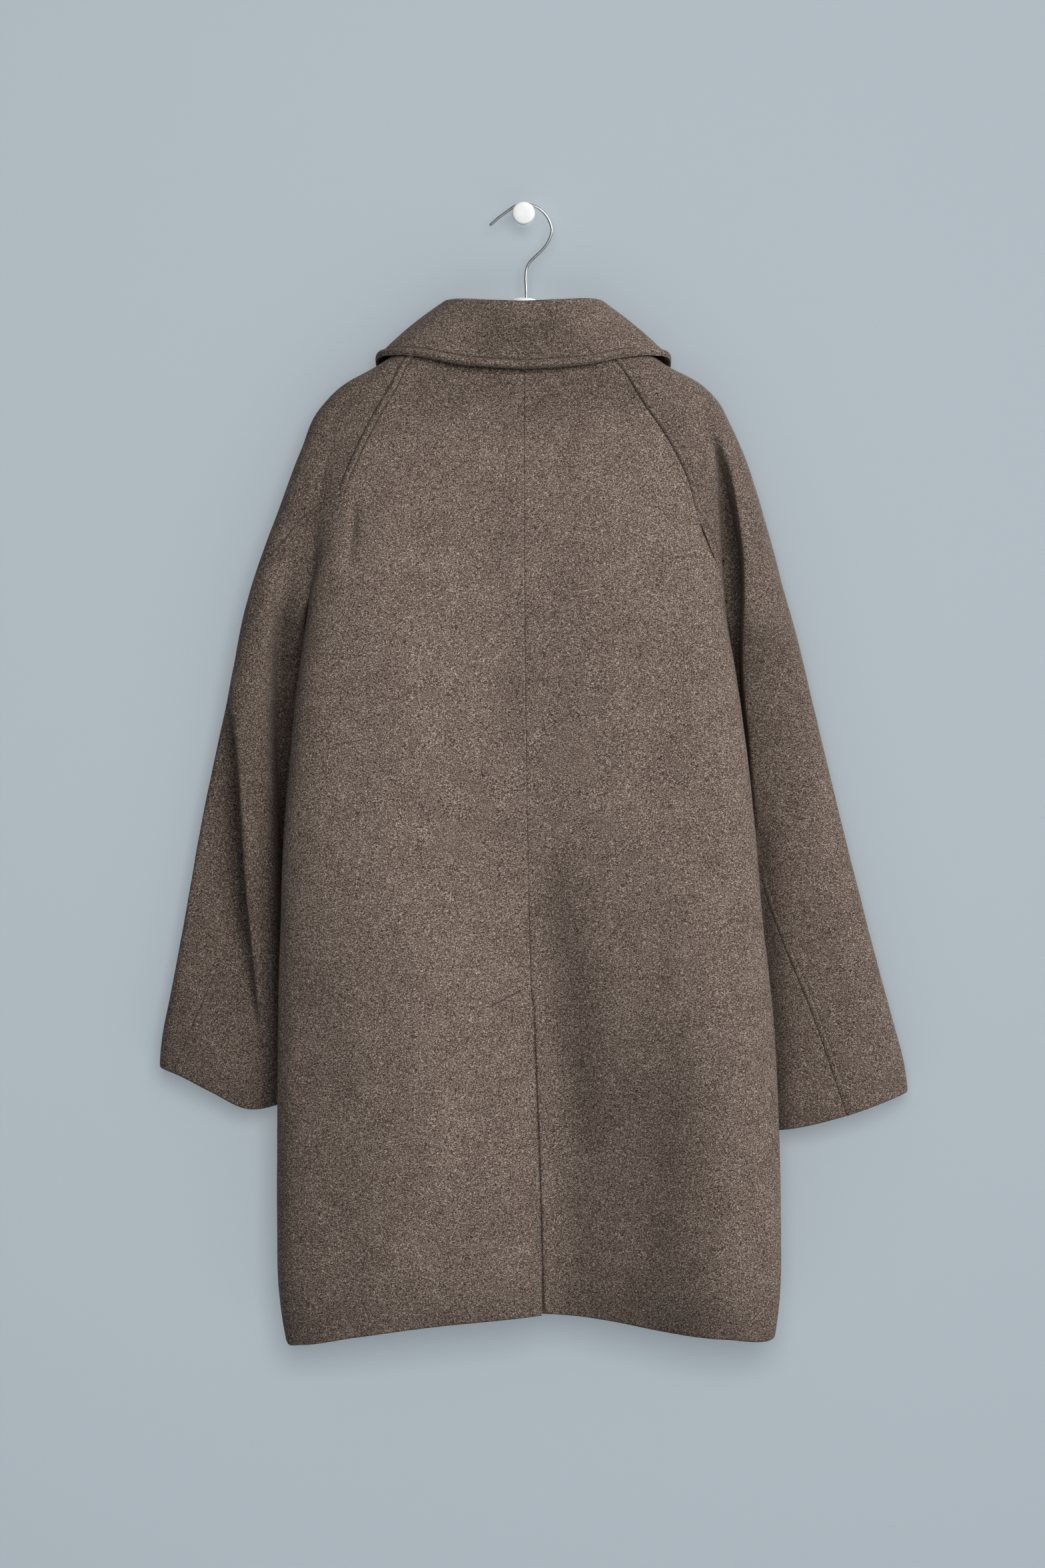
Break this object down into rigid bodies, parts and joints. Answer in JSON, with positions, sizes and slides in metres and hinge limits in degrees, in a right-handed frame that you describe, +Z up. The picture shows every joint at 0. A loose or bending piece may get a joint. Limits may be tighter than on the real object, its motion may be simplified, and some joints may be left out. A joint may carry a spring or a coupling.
{
  "type": "long coat on a hanger",
  "caption": "Long raglan coat in thick wool cloth, with a turned-down collar and a centre back vent, on a hanger hung from a wall peg with its back to the room.",
  "frame": {"origin": "centre of the wall peg's back face, where it meets the wall", "axes": "+Z up, +Y into the wall, +X to the right as seen from the room; the coat's back faces -Y"},
  "size_m": [0.774, 0.1162, 1.1657],
  "materials": {
    "wool": "felted melange",
    "horn": "satin",
    "white_paint": "satin",
    "steel": "polished"
  },
  "bodies": {
    "root": {"back_left": "wool", "back_right": "wool", "front_left": "wool", "front_right": "wool", "sleeve_left_top": "wool", "sleeve_left_under": "wool", "sleeve_right_top": "wool", "sleeve_right_under": "wool", "vent_underlap": "wool", "collar": "wool", "button_1": "horn", "button_2": "horn", "button_3": "horn", "button_4": "horn", "hanger_arms": "white_paint", "hanger_hook": "steel", "wall_peg": "white_paint"}
  },
  "joints": []
}
